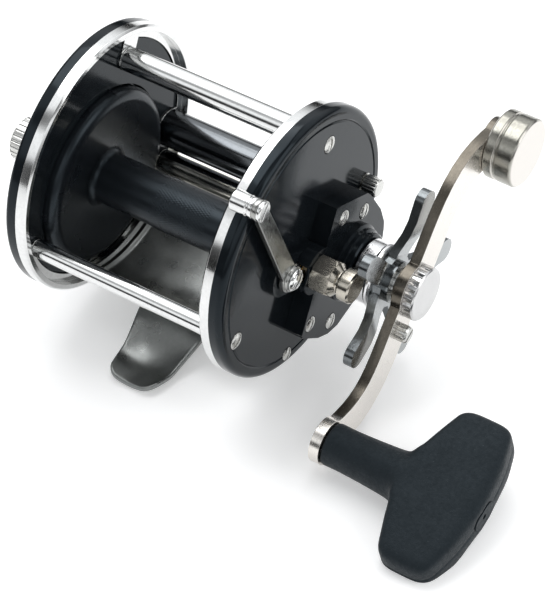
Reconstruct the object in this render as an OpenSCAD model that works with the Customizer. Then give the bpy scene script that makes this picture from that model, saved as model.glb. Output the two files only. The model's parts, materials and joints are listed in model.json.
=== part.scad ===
// Star-drag trolling reel with a free-spool lever, a click and a counterweighted crank.
// X runs along the spool axis towards the handle, +Y is the front, Z is up.
// The origin is the centre of the foot's underside.

/* [Frame] */
// Outer radius of the two side rings and side plates
ring_r = 41.5; // [41:0.25:43]
// Distance between the inner faces of the side plates
frame_w = 66; // [64:0.5:70]
// Height of the rings' centre over the foot's underside
ring_z = 48; // [47:0.5:50]
// Width of each ring's hoop along the spool axis
hoop_w = 3.4; // [3:0.2:4]

/* [Spool] */
// Radius of the spool's flanges
flange_r = 27.6; // [26:0.2:27.8]
// Radius of the spool's arbor
arbor_r = 7.75; // [7:0.25:10]

/* [Gears] */
// Teeth on the main gear
main_teeth = 45; // [42:3:51]
// Teeth on the pinion
pinion_teeth = 15; // [15:2:17]

/* [Handle] */
// Distance from the crank's axis to the knob's axis
throw = 50.5; // [46:0.5:54]
// Angle of the crank above the horizontal, at rest
crank_angle = 28; // [0:1:60]
// Length of the grip's crossbar
grip_len = 51; // [46:1:56]

/* [Foot] */
// Length of the foot from tip to tip
foot_len = 72; // [64:1:76]
// Width of the foot across its middle
foot_w = 24; // [22:1:30]

/* [Hidden] */

$fn = 96;
in = frame_w / 2;              // a side plate's inner plane
web_t = 1.2;                   // thickness of a ring's web
hoop_t = 2;                    // radial thickness of a ring's hoop
pad_x = in - 0.8;              // raised inner face of a side plate
pad_r = 36.6;
recess_x = in + 1.4;           // floor of the recess that a flange turns in
recess_r = flange_r + 0.6;
face_x = in + 4.2;             // outer face of the right plate
rim_x = -in - 3.8;             // outer face of the left plate's rim
dome_x = rim_x - 6.2;          // flat top of the left plate's dome
dome_r = 26;
roof_x = face_x + 5.8;         // outer face of the gear housing

// Axes as [y, z]
centre = [0, ring_z];
spool_at = [-2, ring_z - 5.5];
post_at = [15.7, ring_z - 15.5];
lever_at = [-12.3, ring_z - 1];
click_at = [-16.7, ring_z + 11.4];
takeapart_at = [32.4, ring_z - 0.4];
top_at = [12.9, ring_z + 28];
rear_at = [-34.1, ring_z - 9.8];
front_at = [31.5, ring_z - 11];
low_at = [28, ring_z - 21.9];
stand_rear_at = [-8.5, ring_z - 36.3];
stand_front_at = [8.5, ring_z - 36.3];
top_pillar_r = 3.75;
rear_pillar_r = 2.7;
front_pillar_r = 5.8;
low_pillar_r = 3.8;
shaft_r = 2.4;
stud_r = 2.5;
sleeve_r = 4.5;
fit = 0.05;

// Gear sizes
centres = norm(post_at - spool_at);
mesh_angle = atan2(spool_at[1] - post_at[1], spool_at[0] - post_at[0]);
gear_m = 2 * centres / (main_teeth + pinion_teeth);
main_r = gear_m * main_teeth / 2;
pinion_r = gear_m * pinion_teeth / 2;

// Stations along the crank's axis
bridge_x = recess_x + 1.2;     // inner face of the bridge plate
bridge_t = 1.2;
gear_x = bridge_x + 3;         // inner face of the main gear
gear_t = 1.7;
collar_x = roof_x + 5.3;       // end of the housing's collar
spacer_x = roof_x + 12.2;      // outer end of the drag spacer
star_t = 2.8;
arm_x = roof_x + 19.1;         // inner face of the handle arm
arm_t = 3.3;
arm_top = arm_x + arm_t;

// Turns local X onto Y, local Y onto Z and local Z onto X, at a [y, z] place
module along_x(at, x = 0) {
    translate([x, at[0], at[1]]) rotate([90, 0, 90]) children();
}

module rod(at, x0, x1, r) {
    along_x(at, x0) cylinder(h = x1 - x0, r = r);
}

// A ring of [radius, x] points turned about the axis at a [y, z] place
module turned(at, points) {
    along_x(at) rotate_extrude() polygon(points);
}

function arc(cx, cy, r, a0, a1, n = 6) =
    [for (i = [0:n]) let (a = a0 + (a1 - a0) * i / n) [cx + r * cos(a), cy + r * sin(a)]];

function polar(at, r, a) = at + r * [cos(a), sin(a)];

// ---- Screws ----

// Slotted oval head at local z = 0, with its shank going down
module oval_screw(len, r, head_r) {
    difference() {
        rotate_extrude() polygon([
            [0, -len], [r, -len], [r, -1.4], [head_r, -0.3], [head_r, 0.1],
            [head_r * 0.6, 0.6], [0, 0.75]
        ]);
        translate([-head_r - 1, -0.35, 0.1]) cube([2 * head_r + 2, 0.7, 1]);
    }
}

// Hole that an oval screw sits in
module screw_seat(len, r, head_r) {
    rotate_extrude() polygon([
        [0, -len], [r + 0.1, -len], [r + 0.1, -1.5], [head_r + 0.1, -0.35],
        [head_r + 0.1, 12], [0, 12]
    ]);
}

module right_screw(at, face, turn) {
    along_x(at, face) rotate(turn) children();
}

module left_screw(at, face, turn) {
    translate([face, at[0], at[1]]) rotate([90, 0, -90]) rotate(turn) children();
}

left_seats = [[top_at, 20], [rear_at, 65], [front_at, 110], [low_at, -30]];
right_seats = [[top_at, 75], [rear_at, 35]];
stand_seats = [[stand_rear_at, 50], [stand_front_at, 10]];
housing_seats = [
    [[12, ring_z + 4.1], 60], [[-5.2, ring_z - 23.8], 60], [[5.6, ring_z - 31.4], 55]
];
short_seat = [[22.9, ring_z - 1.5], 60];

// ---- Frame ----

// A ring's ears round the pillars, as a flat shape about the rings' centre
module ear_shapes(grow = 0) {
    ears = [
        [top_at, 3.6], [rear_at, 2.6], [front_at, 5.6], [low_at, 3.6],
        [stand_rear_at, 3.2], [stand_front_at, 3.2]
    ];
    for (e = ears) {
        p = e[0] - centre;
        r = e[1] + grow;
        rotate(atan2(p[1], p[0])) {
            translate([norm(p), 0]) circle(r = r);
            translate([norm(p), -r]) square([40.4 - norm(p), 2 * r]);
        }
    }
}

module left_plate() {
    color([0.06, 0.06, 0.07])
    difference() {
        union() {
            turned(centre, concat(
                [[0, dome_x]],
                arc(dome_r, dome_x + 3, 3, -90, -35, 4),
                [[36, rim_x]],
                arc(ring_r - 1.4, rim_x + 1.4, 1.4, -90, 0, 4),
                [[ring_r, -in], [pad_r, -in], [pad_r, -pad_x], [0, -pad_x]]
            ));
            rod(spool_at, dome_x - 3, dome_x + 1, 6.5);
        }
        rod(spool_at, -recess_x, -pad_x + 1, recess_r);
        difference() {
            union() {
                rod(spool_at, dome_x + 2.4, -recess_x + 1, 17);
                rod(click_at, dome_x + 2.4, -recess_x + 1, 7.3);
            }
            rod(spool_at, dome_x, rim_x - 1, 6.5);
        }
        rod(spool_at, dome_x - 4, -recess_x, 4.5);
        click_slot(dome_x - 1, dome_x + 3, 2.2);
        intersection() {
            along_x(centre, -in) linear_extrude(2) ear_shapes(0.25);
            rod(centre, -in - 1, -pad_x + 1, pad_r + 1);
        }
        for (s = left_seats)
            left_screw(s[0], rim_x, 0) screw_seat(12, 1.45, 2.7);
        for (s = stand_seats)
            left_screw(s[0], rim_x, 0) screw_seat(12, 1.15, 2.2);
    }
}

// Slot that the click button's stem slides along
module click_slot(x0, x1, r) {
    way = (spool_at - click_at) / norm(spool_at - click_at);
    along_x(click_at, x0) rotate(atan2(way[1], way[0])) linear_extrude(x1 - x0) {
        circle(r = r);
        translate([0, -r]) square([3.2, 2 * r]);
        translate([3.2, 0]) circle(r = r);
    }
}

// Shape of the free-spool linkage, from the pinion to the lever
module link_shape(fork_r, bar_w, end_r) {
    way = lever_at - spool_at;
    rotate(atan2(way[1], way[0])) {
        circle(r = fork_r);
        translate([0, -bar_w / 2]) square([norm(way), bar_w]);
        translate([norm(way), 0]) circle(r = end_r);
    }
}

module right_plate() {
    color([0.06, 0.06, 0.07])
    difference() {
        union() {
            turned(centre, concat(
                [[0, pad_x], [pad_r, pad_x], [pad_r, in], [ring_r, in]],
                arc(ring_r - 2.2, face_x - 2.2, 2.2, 0, 90, 5),
                [[0, face_x]]
            ));
            // raised pad under the lever
            along_x(spool_at, face_x - 0.5) linear_extrude(2.7) link_shape(7.2, 13, 6.6);
        }
        turned(centre, [
            [37.1, face_x + 1], [37.1, face_x - 0.1], [37.4, face_x - 0.35],
            [38, face_x + 0.05], [38, face_x + 1]
        ]);
        rod(spool_at, pad_x - 1, recess_x, recess_r);
        rod(spool_at, recess_x - 1, face_x + 3, 6.3);
        // room for the yoke
        along_x(spool_at, recess_x + 0.8) linear_extrude(3.3) link_shape(6.3, 6, 4.4);
        rod(lever_at, recess_x, face_x + 3, 2.1);
        // seat of the bridge plate, and room for the gears
        rod(post_at, bridge_x, face_x + 1, 13.3);
        rod(post_at, bridge_x + 1.6, face_x + 3, 16.5);
        along_x(centre, in - 1) intersection() {
            linear_extrude(1) ear_shapes(0.25);
            cylinder(h = 3, r = pad_r + 1, center = true);
        }
        for (s = right_seats)
            right_screw(s[0], face_x, 0) screw_seat(12, 1.45, 2.7);
        right_screw(stand_rear_at, face_x, 0) screw_seat(12, 1.15, 2.2);
        for (s = housing_seats)
            rod(s[0], face_x - 2.4, face_x + 2, 1.25);
        for (p = bridge_screw_places)
            rod(p, bridge_x - 1.1, bridge_x + 1, 0.95);
        rod(takeapart_at, in - 2, face_x + 1, 3.1);
    }
}

module ring(side) {
    edge = side * (in - hoop_w);
    color([0.8, 0.8, 0.82])
    difference() {
        union() {
            turned(centre, [
                [ring_r - hoop_t, edge], [ring_r - 0.6, edge],
                [ring_r, edge + side * 0.6], [ring_r, side * in], [37, side * in],
                [37, side * (in - web_t)], [ring_r - hoop_t, side * (in - web_t)]
            ]);
            along_x(centre, side > 0 ? in - web_t : -in) linear_extrude(web_t)
                intersection() {
                    ear_shapes();
                    circle(r = 40.2);
                }
        }
        for (p = [top_at, rear_at, front_at, low_at]) rod(p, -in - 1, in + 1, 1.6);
        for (p = [stand_rear_at, stand_front_at]) rod(p, -in - 1, in + 1, 1.3);
    }
}

module left_ring() {
    ring(-1);
}

module right_ring() {
    ring(1);
}

module pillar(at, r) {
    end = in - web_t;
    difference() {
        turned(at, [
            [0, -end], [r - 0.4, -end], [r, 0.4 - end],
            [r, end - 0.4], [r - 0.4, end], [0, end]
        ]);
        rod(at, -end - 1, -end + 6, 1.5);
        rod(at, end - 6, end + 1, 1.5);
    }
}

module top_pillar() {
    color([0.85, 0.85, 0.87]) pillar(top_at, top_pillar_r);
}

module rear_pillar() {
    color([0.85, 0.85, 0.87]) pillar(rear_at, rear_pillar_r);
}

module front_pillars() {
    color([0.85, 0.85, 0.87]) {
        pillar(front_at, front_pillar_r);
        pillar(low_at, low_pillar_r);
    }
}

rivet_places = [[-8, -4.5], [8, -4.5], [-8, 4.5], [8, 4.5]];

module stand() {
    half = in - web_t - 0.1;
    color([0.8, 0.8, 0.82])
    difference() {
        union() {
            along_x(centre, -half) intersection() {
                difference() {
                    cylinder(h = 2 * half, r = 37.5);
                    translate([0, 0, -1]) cylinder(h = 2 * half + 2, r = 35.9);
                }
                rotate(-118) rotate_extrude(angle = 56) square([40, 2 * half]);
            }
            for (p = [stand_rear_at, stand_front_at]) {
                rod(p, -half, -half + 6, 2.1);
                rod(p, half - 6, half, 2.1);
            }
        }
        for (p = [stand_rear_at, stand_front_at]) {
            rod(p, -half - 1, -half + 5, 1.2);
            rod(p, half - 5, half + 1, 1.2);
        }
        for (p = rivet_places)
            translate([p[0], p[1], 5]) cylinder(h = 12, r = 1.6 + fit);
    }
}

function back(pts) = [for (i = [len(pts) - 1:-1:0]) pts[i]];

function flip_x(pts) = [for (i = [len(pts) - 1:-1:0]) [-pts[i][0], pts[i][1]]];

function flip_y(pts) = [for (i = [len(pts) - 1:-1:0]) [pts[i][0], -pts[i][1]]];

foot_t = 1.8;                  // thickness of the foot's sheet
foot_crown = 6;                // half length of the flat crown under the stand
foot_flat = 28;                // distance from the middle to where a tip lies flat

// Height of the foot's top face at a distance y from the middle
function foot_rise(y) =
    foot_t + 9.2 * (1 + cos(180 * (y - foot_crown) / (foot_flat - foot_crown))) / 2;

// The foot seen from its side, and seen from above
function foot_side() =
    let (
        ys = [for (y = [foot_crown:2:foot_flat]) y],
        top = concat([for (y = ys) [y, foot_rise(y)]], [[foot_len / 2, foot_t]]),
        low = [for (p = top) [p[0], p[1] - foot_t]]
    )
    concat(flip_x(top), top, back(concat(flip_x(low), low)));

function foot_plan() =
    let (
        tip = foot_len / 2,
        quarter = concat(
            [[foot_w / 2, 9], [foot_w / 2 - 1.6, 19], [foot_w / 2 - 2.6, 27]],
            arc(foot_w / 2 - 7.6, tip - 3.4, 3.4, 5, 85, 5)
        ),
        half = concat(quarter, flip_x(quarter))
    )
    concat(half, flip_y(half));

module reel_foot() {
    color([0.8, 0.8, 0.82])
    difference() {
        intersection() {
            translate([-20, 0, 0]) rotate([90, 0, 90]) linear_extrude(40) polygon(foot_side());
            linear_extrude(14) polygon(foot_plan());
        }
        rod(centre, -21, 21, 37.5);
        for (p = rivet_places)
            translate([p[0], p[1], 5]) cylinder(h = 12, r = 1.6 + fit);
    }
}

module foot_rivets() {
    color([0.75, 0.75, 0.77])
    difference() {
        for (p = rivet_places)
            translate([p[0], p[1], 0]) rotate_extrude() polygon([
                [0, 7.6], [2.2, 7.9], [2.6, 8.6], [1.6, 8.9], [1.6, 14], [0, 14]
            ]);
        // filed flush with the saddle's inner face
        rod(centre, -21, 21, 35.9);
    }
}

module stand_screws() {
    color([0.8, 0.8, 0.82]) {
        for (s = stand_seats) left_screw(s[0], rim_x, s[1]) oval_screw(9.5, 1.15, 2.1);
        right_screw(stand_rear_at, face_x, 50) oval_screw(9.5, 1.15, 2.1);
    }
}

module left_plate_screws() {
    color([0.8, 0.8, 0.82])
    for (s = left_seats) left_screw(s[0], rim_x, s[1]) oval_screw(10, 1.45, 2.6);
}

module right_plate_screws() {
    color([0.8, 0.8, 0.82])
    for (s = right_seats) right_screw(s[0], face_x, s[1]) oval_screw(10, 1.45, 2.6);
}

// ---- Gear case ----

// Outline of the gear housing about the rings' centre
housing_pts = concat(
    [[8.2, 10.4], [-9.4, -25.2], [-8.8, -26.8], [-0.8, -33.1], [4.6, -35.7], [9.6, -36.3]],
    arc(15.7, -15.5, 18.8, -84, 4, 10),
    [[32.4, -7.9], [26.5, 2], [24.8, 4], [10.3, 9.9]]
);

module gear_housing() {
    color([0.07, 0.07, 0.08])
    difference() {
        union() {
            along_x(centre, face_x) linear_extrude(roof_x - face_x) polygon(housing_pts);
            rod(spool_at, face_x + 2.3, roof_x + 0.4, 7.2);
            rod(spool_at, face_x + 2.3, roof_x + 3, 4);
            turned(post_at, [
                [0, roof_x - 1], [12, roof_x - 1], [12, roof_x + 1.4], [11.2, roof_x + 1.9],
                [11.2, roof_x + 3], [10.5, roof_x + 3.4], [10.5, collar_x - 0.5],
                [10, collar_x], [0, collar_x]
            ]);
        }
        // room for the plate's raised pad and for the lever's hub
        along_x(spool_at, face_x - 1) linear_extrude(3.2) link_shape(7.25, 13.1, 6.65);
        rod(lever_at, face_x + 2, roof_x + 1, 5.8);
        rod(post_at, face_x - 1, roof_x - 1.6, 16.5);
        rod(post_at, face_x, roof_x + 3.6, 9.2);
        rod(post_at, face_x, collar_x + 1, 7);
        rod(spool_at, face_x - 1, roof_x - 0.5, 6.3);
        rod(spool_at, roof_x - 1, roof_x + 4, 3.2);
        for (s = housing_seats)
            right_screw(s[0], roof_x, 0) screw_seat(12, 1.15, 2.5);
        right_screw(short_seat[0], roof_x, 0) screw_seat(12, 1.15, 2.5);
    }
}

module housing_screws() {
    color([0.8, 0.8, 0.82]) {
        for (s = housing_seats) right_screw(s[0], roof_x, s[1]) oval_screw(8, 1.15, 2.4);
        right_screw(short_seat[0], roof_x, short_seat[1]) oval_screw(2, 1.15, 2.4);
    }
}

bridge_screw_places = [for (a = [40, -30, -95, -165]) polar(post_at, 10.6, a)];

module bridge_plate() {
    color([0.62, 0.62, 0.64])
    difference() {
        rod(post_at, bridge_x, bridge_x + bridge_t, 13.2);
        rod(post_at, bridge_x - 1, bridge_x + 2, stud_r);
        for (p = bridge_screw_places) rod(p, bridge_x - 1, bridge_x + 2, 1);
        rod(dog_at, bridge_x - 1, bridge_x + 2, 0.9);
    }
}

module bridge_screws() {
    color([0.7, 0.7, 0.72])
    for (p = bridge_screw_places)
        turned(p, [
            [0, bridge_x - 1], [0.9, bridge_x - 1], [0.9, bridge_x + bridge_t],
            [1.7, bridge_x + bridge_t], [1.5, bridge_x + 1.55], [0, bridge_x + 1.55]
        ]);
}

module gear_stud() {
    color([0.7, 0.7, 0.72])
    turned(post_at, [
        [0, bridge_x], [stud_r, bridge_x], [stud_r, arm_x - 1.5],
        [stud_r - 0.5, arm_x - 1], [0, arm_x - 1]
    ]);
}

dog_at = polar(post_at, 12.2, -62);

module dog_pin() {
    color([0.7, 0.7, 0.72]) rod(dog_at, bridge_x, gear_x - 0.25, 0.9);
}

module left_bush() {
    color([0.78, 0.6, 0.3])
    difference() {
        rod(spool_at, dome_x - 1, rim_x - 1, 4.5);
        rod(spool_at, dome_x - 2, rim_x, shaft_r + fit);
    }
}

module right_bush() {
    color([0.78, 0.6, 0.3])
    difference() {
        rod(spool_at, roof_x - 0.4, roof_x + 3, 3.2);
        rod(spool_at, roof_x - 2, roof_x + 4, shaft_r + fit);
    }
}

module click_spring() {
    way = (spool_at - click_at) / norm(spool_at - click_at);
    color([0.78, 0.6, 0.3])
    along_x(click_at, dome_x + 2.4) rotate(atan2(way[1], way[0])) {
        translate([-2, 3.1, 0]) cube([7, 0.5, 4.6]);
        translate([5.2, 3.35, 0]) cylinder(h = 4.6, r = 0.9);
    }
}

module takeapart_seat() {
    color([0.7, 0.7, 0.72])
    difference() {
        turned(takeapart_at, [
            [0, in - 0.9], [3, in - 0.9], [3, face_x + 0.1], [0, face_x + 0.1]
        ]);
        rod(takeapart_at, in - 2, face_x + 1, 1.6);
    }
}

// ---- Spool ----

module spool() {
    outer = in + 1;
    half = [
        [arbor_r, 10], [arbor_r, in - 4.8], [arbor_r + 0.5, in - 3.4], [arbor_r + 1.9, in - 2.8],
        [24, in - 4.4], [25.6, in - 4.1], [26.8, in - 3.3], [flange_r, in - 2],
        [flange_r, outer - 0.4], [flange_r - 0.4, outer], [shaft_r, outer]
    ];
    band = arbor_r + 0.15;
    color([0.05, 0.05, 0.06])
    turned(spool_at, concat(
        [[band, 9.5]], half, [for (i = [len(half) - 1:-1:0]) [half[i][0], -half[i][1]]],
        [[band, -9.5]]
    ));
}

module spool_shaft() {
    color([0.75, 0.75, 0.77])
    turned(spool_at, [
        [0, dome_x - 2.5], [shaft_r - 0.5, dome_x - 2.5], [shaft_r, dome_x - 2],
        [shaft_r, roof_x + 2.5], [shaft_r - 0.5, roof_x + 3], [0, roof_x + 3]
    ]);
}

// Saw teeth between two radii
module ratchet_shape(teeth, r0, r1) {
    step = 360 / teeth;
    polygon([for (i = [0:2 * teeth - 1])
        let (a = step * floor(i / 2) + (i % 2) * step * 0.15, r = i % 2 == 0 ? r0 : r1)
        [r * cos(a), r * sin(a)]]);
}

module click_ratchet() {
    color([0.7, 0.7, 0.72])
    difference() {
        union() {
            along_x(spool_at, -recess_x - 2.8) linear_extrude(2) ratchet_shape(20, 6.7, 8);
            rod(spool_at, -recess_x - 1, -in - 1.05, 4);
        }
        rod(spool_at, -recess_x - 4, -in, shaft_r);
    }
}

// ---- Crank ----

function inv(a) = tan(a) * 180 / PI - a;

// Half the angle that a tooth spans at radius p, on a gear of pitch radius r
function tooth_half(teeth, r, p) =
    let (a = acos(min(1, r * cos(20) / p)))
    90 / teeth - 0.12 * 180 / (PI * r) + inv(20) - inv(a);

// A gear with one tooth centred on local +X
module gear_shape(teeth, r) {
    radii = [r - 1.25 * gear_m, r - 0.3 * gear_m, r + 0.4 * gear_m, r + 0.85 * gear_m];
    polygon([for (i = [0:teeth - 1]) for (k = [0:7])
        let (
            p = radii[k < 4 ? k : 7 - k],
            a = 360 * i / teeth + (k < 4 ? -1 : 1) * tooth_half(teeth, r, p)
        )
        [p * cos(a), p * sin(a)]]);
}

module gear_sleeve() {
    color([0.7, 0.7, 0.72])
    turned(post_at, [
        [stud_r + fit, gear_x - 1.7], [sleeve_r, gear_x - 1.7],
        [sleeve_r, arm_top + 2], [stud_r + fit, arm_top + 2]
    ]);
}

module main_gear() {
    color([0.78, 0.6, 0.3])
    difference() {
        along_x(post_at, gear_x) rotate(mesh_angle) linear_extrude(gear_t)
            gear_shape(main_teeth, main_r);
        rod(post_at, gear_x - 1, gear_x + gear_t + 1, sleeve_r + fit);
        for (a = [0:60:300]) rod(polar(post_at, 11.2, a), gear_x - 1, gear_x + 3, 1.6);
    }
}

module drag_washers() {
    color([0.35, 0.3, 0.26])
    for (i = [0:3]) difference() {
        x = gear_x + gear_t + 0.05 + i * 0.9;
        rod(post_at, x, x + 0.85, i % 2 == 0 ? 8.6 : 8.2);
        rod(post_at, x - 1, x + 2, sleeve_r + fit);
    }
}

module dog_ratchet() {
    color([0.62, 0.62, 0.64])
    difference() {
        along_x(post_at, gear_x - 1.65) linear_extrude(1.3) ratchet_shape(12, 6.9, 8.2);
        rod(post_at, gear_x - 3, gear_x, sleeve_r + fit);
    }
}

module drag_spacer() {
    color([0.85, 0.85, 0.87])
    turned(post_at, [
        [sleeve_r + fit, gear_x + 5.35], [6.7, gear_x + 5.35], [6.7, collar_x + 0.4],
        [9.2, collar_x + 0.4], [9.5, collar_x + 0.7], [9.5, spacer_x - 1.9],
        [10, spacer_x - 1.5], [10, spacer_x - 0.6], [9.2, spacer_x],
        [sleeve_r + fit, spacer_x]
    ]);
}

// Distance of the handle arm's centreline from the line between its two eyes
function arm_sway(s) = sign(s) * 9 * sin(180 * pow(abs(s) / throw, 1.4));

// A point on the arm's edge, d to one side of its centreline
function arm_edge(s, d) =
    let (slope = (arm_sway(s + 0.1) - arm_sway(s - 0.1)) / 0.2, k = d / norm([1, slope]))
    [s - slope * k, arm_sway(s) + k];

module arm_shape() {
    ss = [for (i = [-12:12]) i * (throw - 1) / 12];
    polygon(concat(
        [for (s = ss) arm_edge(s, 5.6)],
        [for (i = [len(ss) - 1:-1:0]) arm_edge(ss[i], -5.6)]
    ));
    for (side = [-1, 1]) translate([side * throw, 0]) circle(r = 6.9);
    circle(r = 8.8);
}

module on_arm(s, x) {
    along_x(post_at, x) rotate(crank_angle) translate([s, arm_sway(s), 0]) children();
}

module handle_arm() {
    color([0.85, 0.85, 0.87])
    difference() {
        union() {
            along_x(post_at, arm_x) rotate(crank_angle) linear_extrude(arm_t) arm_shape();
            rod(post_at, arm_x - 1.2, arm_x + 1, 6.6);
        }
        rod(post_at, arm_x - 2, arm_top + 1, sleeve_r + fit);
        on_arm(throw, arm_x - 1) cylinder(h = arm_t + 2, r = 3 + fit);
        on_arm(-throw, arm_x - 1) cylinder(h = arm_t + 2, r = shaft_r + fit);
        on_arm(-12, arm_x + 0.4) cylinder(h = arm_t, r = 1.25);
    }
}

module counterweight() {
    color([0.82, 0.8, 0.78])
    on_arm(throw, arm_x) rotate_extrude() polygon([
        [0, -0.5], [2.4, -0.5], [3.4, 0], [3, 0], [3, arm_t], [10.1, arm_t], [10.6, arm_t + 0.5],
        [10.6, arm_t + 3], [10, arm_t + 3.3], [10, arm_t + 3.9], [10.6, arm_t + 4.2],
        [10.6, arm_t + 8.9], [10, arm_t + 9.6], [0, arm_t + 9.6]
    ]);
}

module handle_nut() {
    color([0.85, 0.85, 0.87])
    difference() {
        turned(post_at, [
            [0, arm_top + 2.1], [sleeve_r + fit, arm_top + 2.1], [sleeve_r + fit, arm_top],
            [8, arm_top], [8.2, arm_top + 0.3], [8.2, arm_top + 3], [7.7, arm_top + 3.5],
            [0, arm_top + 3.7]
        ]);
        for (a = [0:20:340])
            rod(polar(post_at, 8.7, a), arm_top - 1, arm_top + 2.9, 1);
    }
}

module nut_lock_screw() {
    color([0.75, 0.75, 0.77])
    on_arm(-12, arm_top) difference() {
        rotate_extrude() polygon([
            [0, -2.7], [1.2, -2.7], [1.2, 0], [2.4, 0], [2.6, 0.3], [2.6, 3], [2.2, 3.5], [0, 3.5]
        ]);
        translate([-3, -0.35, 2.9]) cube([6, 0.7, 1]);
        for (a = [0:30:330]) rotate(a) translate([2.85, 0, -0.5]) cylinder(h = 3, r = 0.4);
    }
}

module knob_spindle() {
    color([0.75, 0.75, 0.77])
    on_arm(-throw, arm_x) rotate_extrude() polygon([
        [0, -1.8], [3.4, -1.4], [4.6, 0], [shaft_r, 0], [shaft_r, arm_t + 44],
        [0, arm_t + 44]
    ]);
}

// ---- Knob ----

grip_angle = 18.4;             // slant of the crossbar from the horizontal
grip_top = 50;                 // height of the crossbar's outer face above the arm

module on_knob() {
    on_arm(-throw, arm_top) rotate(grip_angle - crank_angle) children();
}

// Half of the crossbar's broad side, as [along, height]
function grip_side() = concat(
    [[0, 24], [7.5, 24.4], [9.5, 25.6], [14, 26.8], [20, 28.8]],
    arc(grip_len / 2 - 5.2, 34.3, 5.2, -72, 0, 6),
    arc(grip_len / 2 - 5, grip_top - 8, 5, 0, 70, 6),
    [[14, grip_top - 1.1], [7, grip_top - 0.3], [0, grip_top]]
);

module grip_bar() {
    intersection() {
        translate([0, 9, 0]) rotate([90, 0, 0]) linear_extrude(18) {
            polygon(grip_side());
            mirror([1, 0]) polygon(grip_side());
        }
        rotate([90, 0, 90]) linear_extrude(60, center = true) polygon(concat(
            [[-8, 18], [8, 18], [7.2, 26]], arc(3.6, 47, 3, 0, 90, 5),
            arc(-3.6, 47, 3, 90, 180, 5), [[-7.2, 26]]
        ));
        linear_extrude(60) polygon(concat(
            [[0, -7.8]], arc(grip_len / 2 - 3, -3.2, 3, -80, 0, 5),
            arc(grip_len / 2 - 3, 3.2, 3, 0, 80, 5), [[0, 7.8]],
            arc(3 - grip_len / 2, 3.2, 3, 100, 180, 5),
            arc(3 - grip_len / 2, -3.2, 3, 180, 260, 5)
        ));
    }
}

module knob_grip() {
    color([0.12, 0.12, 0.13])
    on_knob() difference() {
        union() {
            rotate_extrude() polygon([
                [0, 0.3], [6, 0.3], [6.4, 0.7], [6.4, 4], [6.7, 12], [7.2, 20], [7.8, 25], [7.8, 27],
                [0, 27]
            ]);
            grip_bar();
        }
        translate([0, 0, -1]) cylinder(h = 46.5, r = shaft_r + fit);
        translate([0, 0, grip_top - 2]) plug_shape(3);
    }
}

module plug_shape(h, r = 2.7) {
    linear_extrude(h) {
        translate([-2, 0]) circle(r = r);
        translate([2, 0]) circle(r = r);
        translate([-2, -r]) square([4, 2 * r]);
    }
}

module knob_end_plug() {
    color([0.14, 0.14, 0.15])
    on_knob() difference() {
        translate([0, 0, grip_top - 2]) plug_shape(2.1, 2.65);
        translate([0, 0, grip_top - 1]) cylinder(h = 3, r = 0.8);
    }
}

// ---- Star drag ----

star_angle = 130.8;

module star_arm() {
    side = [
        [0, 0], [8, 0], [10.5, 0.6], [15, 2], [19, 2.6], [29.5, 2.6],
        [29.5, 2.6 + star_t], [19, 2.6 + star_t], [15, 2 + star_t],
        [10.5, 0.6 + star_t], [8, star_t], [0, star_t]
    ];
    intersection() {
        translate([0, 5, 0]) rotate([90, 0, 0]) linear_extrude(10) polygon(side);
        linear_extrude(10) {
            polygon([[0, -4.2], [12, -3.4], [25.1, -3.7], [25.1, 3.7], [12, 3.4], [0, 4.2]]);
            translate([25.1, 0]) circle(r = 3.7);
        }
    }
}

module star_drag() {
    color([0.82, 0.82, 0.84])
    difference() {
        along_x(post_at, spacer_x + 0.1) {
            for (i = [0:4]) rotate(star_angle + 72 * i) star_arm();
            cylinder(h = star_t, r = 8);
            cylinder(h = star_t + 1.4, r = 6.4);
        }
        rod(post_at, spacer_x - 1, arm_x, sleeve_r + 0.1);
    }
}

// ---- Free-spool lever ----

lever_x = face_x + 2.5;
lever_t = 1.7;
lever_tip = polar(lever_at, 39.7, 112.4);

module clutch_lever() {
    color([0.85, 0.85, 0.87])
    difference() {
        along_x(lever_at, lever_x) rotate(112.4) {
            linear_extrude(lever_t) {
                circle(r = 4.4);
                polygon([[0, -3.1], [39.7, -2.5], [39.7, 2.5], [0, 3.1]]);
                translate([39.7, 0]) circle(r = 3.2);
            }
            cylinder(h = lever_t + 0.8, r = 3.9);
        }
        rod(lever_at, lever_x - 1, lever_x + 4, 1.25);
        rod(lever_tip, lever_x - 1, lever_x + 4, 1.95 + fit);
    }
}

module lever_post() {
    color([0.85, 0.85, 0.87])
    difference() {
        turned(lever_tip, [
            [0, in - 0.6], [2.6, in - 0.6], [3.1, in - 0.1], [3.1, lever_x - 2.2],
            [2.7, lever_x - 1.9], [2.7, lever_x - 1.5], [3.1, lever_x - 1.2],
            [3.1, lever_x], [1.95, lever_x], [1.95, lever_x + lever_t],
            [3.1, lever_x + lever_t], [3.1, lever_x + lever_t + 0.7],
            [2.6, lever_x + lever_t + 1.1], [0, lever_x + lever_t + 1.1]
        ]);
        along_x(lever_tip, lever_x + lever_t + 0.5) rotate(50)
            translate([-4, -0.35, 0]) cube([8, 0.7, 1]);
    }
}

module lever_screw() {
    color([0.82, 0.82, 0.84])
    along_x(lever_at, lever_x + lever_t + 0.8) rotate(40) difference() {
        rotate_extrude() polygon([
            [0, -4.2], [1.2, -4.2], [1.2, 0], [3.4, 0], [3.4, 0.5], [2.4, 1.3], [0, 1.6]
        ]);
        translate([-4, -0.4, 0.7]) cube([8, 0.8, 2]);
    }
}

module clutch_cam() {
    color([0.7, 0.7, 0.72])
    difference() {
        turned(lever_at, [
            [0, recess_x + 0.85], [3.8, recess_x + 0.85], [3.8, recess_x + 1.2],
            [2, recess_x + 1.2], [2, lever_x - 0.05], [0, lever_x - 0.05]
        ]);
        rod(lever_at, lever_x - 2, lever_x + 1, 1.25);
    }
}

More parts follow.
